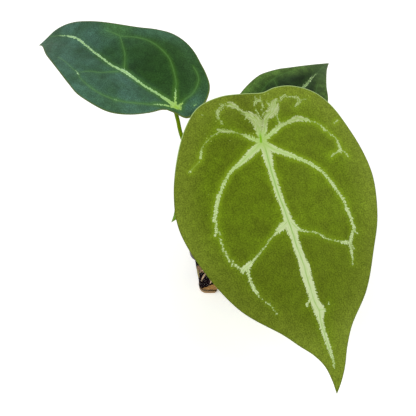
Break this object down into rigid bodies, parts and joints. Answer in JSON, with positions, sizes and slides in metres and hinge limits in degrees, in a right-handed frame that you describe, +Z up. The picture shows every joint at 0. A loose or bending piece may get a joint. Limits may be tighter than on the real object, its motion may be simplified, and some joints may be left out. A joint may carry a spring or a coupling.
{
  "type": "potted anthurium forgetii",
  "caption": "Young aroid house plant with heart-shaped, silver-veined leaves on slender stalks, rooted in chunky bark mix in a square clear nursery pot.",
  "frame": {"origin": "middle of the pot's underside, on the surface it stands on", "axes": "+Z up, +X to the plant's right as the picture shows it, -Y towards the viewer, where the big leaf hangs down"},
  "size_m": [0.2046, 0.2163, 0.1361],
  "materials": {
    "clear_pot": "gloss",
    "bark_mix": "matte",
    "stem_and_roots": "matte",
    "leaf_stalk": "satin",
    "young_leaf": "matte",
    "dark_leaf": "matte",
    "small_leaf": "matte"
  },
  "bodies": {
    "root": {"pot": "clear_pot", "potting_mix": "bark_mix", "stem": "stem_and_roots", "petiole_front": "leaf_stalk", "leaf_front": "young_leaf", "petiole_left": "leaf_stalk", "leaf_left": "dark_leaf", "petiole_back": "leaf_stalk", "leaf_back": "dark_leaf", "petiole_small": "leaf_stalk", "leaf_small": "small_leaf"}
  },
  "joints": []
}
